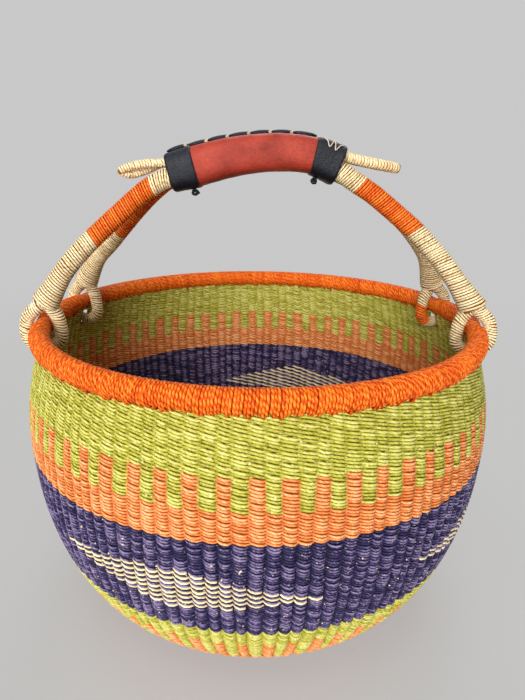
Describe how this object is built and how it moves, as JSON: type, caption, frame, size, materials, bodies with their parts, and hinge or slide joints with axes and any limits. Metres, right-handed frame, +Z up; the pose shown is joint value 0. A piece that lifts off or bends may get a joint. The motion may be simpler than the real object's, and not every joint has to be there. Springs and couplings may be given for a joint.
{
  "type": "market basket",
  "caption": "Round deep basket twined from dyed grass in colour bands, with a wrapped rim and a two-strand arched handle ending in a leather grip.",
  "frame": {"origin": "centre of the flat base, on the plane the basket stands on", "axes": "+Z up, +X from the left feet of the handle to its right feet, -Y the front of the basket"},
  "size_m": [0.4066, 0.4056, 0.412],
  "materials": {
    "green_grass": "twined dyed grass, semi-matt",
    "orange_grass": "twined dyed grass, semi-matt",
    "navy_grass": "twined dyed grass, semi-matt",
    "natural_straw": "undyed straw, semi-matt",
    "orange_wrapping": "close wrapping of dyed straw, slight sheen",
    "bundled_grass": "plain bundled grass",
    "red_leather": "dyed leather, slight sheen",
    "black_leather": "dyed leather, slight sheen"
  },
  "bodies": {
    "basket": {"upper_green_band": "green_grass", "green_and_orange_block_band": "orange_grass", "orange_band": "orange_grass", "upper_navy_band": "navy_grass", "natural_eye_band": "navy_grass", "lower_navy_band": "navy_grass", "lower_green_band": "green_grass", "base_block_band": "orange_grass", "base_ring": "orange_grass", "base_centre": "green_grass", "rim_core": "bundled_grass", "rim_wrapping": "orange_wrapping"},
    "handle": {"front_strand_core": "bundled_grass", "front_left_foot_wrapping": "natural_straw", "front_right_foot_wrapping": "natural_straw", "front_left_orange_wrapping": "orange_wrapping", "front_right_orange_wrapping": "orange_wrapping", "front_top_wrapping": "natural_straw", "back_strand_core": "bundled_grass", "back_left_foot_wrapping": "natural_straw", "back_right_foot_wrapping": "natural_straw", "back_left_orange_wrapping": "orange_wrapping", "back_right_orange_wrapping": "orange_wrapping", "back_top_wrapping": "natural_straw", "back_right_foot_end_wrapping": "orange_wrapping", "left_leather_cuff": "black_leather", "red_leather_grip": "red_leather", "right_leather_cuff": "black_leather", "ear_rope": "natural_straw", "grip_lace": "black_leather", "left_thong": "black_leather", "right_thong": "black_leather", "right_cuff_thread": "natural_straw"}
  },
  "joints": [
    {"name": "handle_lift", "type": "slide", "parent": "basket", "child": "handle", "axis": [0, 0, 1], "range_m": [0, 0.003]}
  ]
}
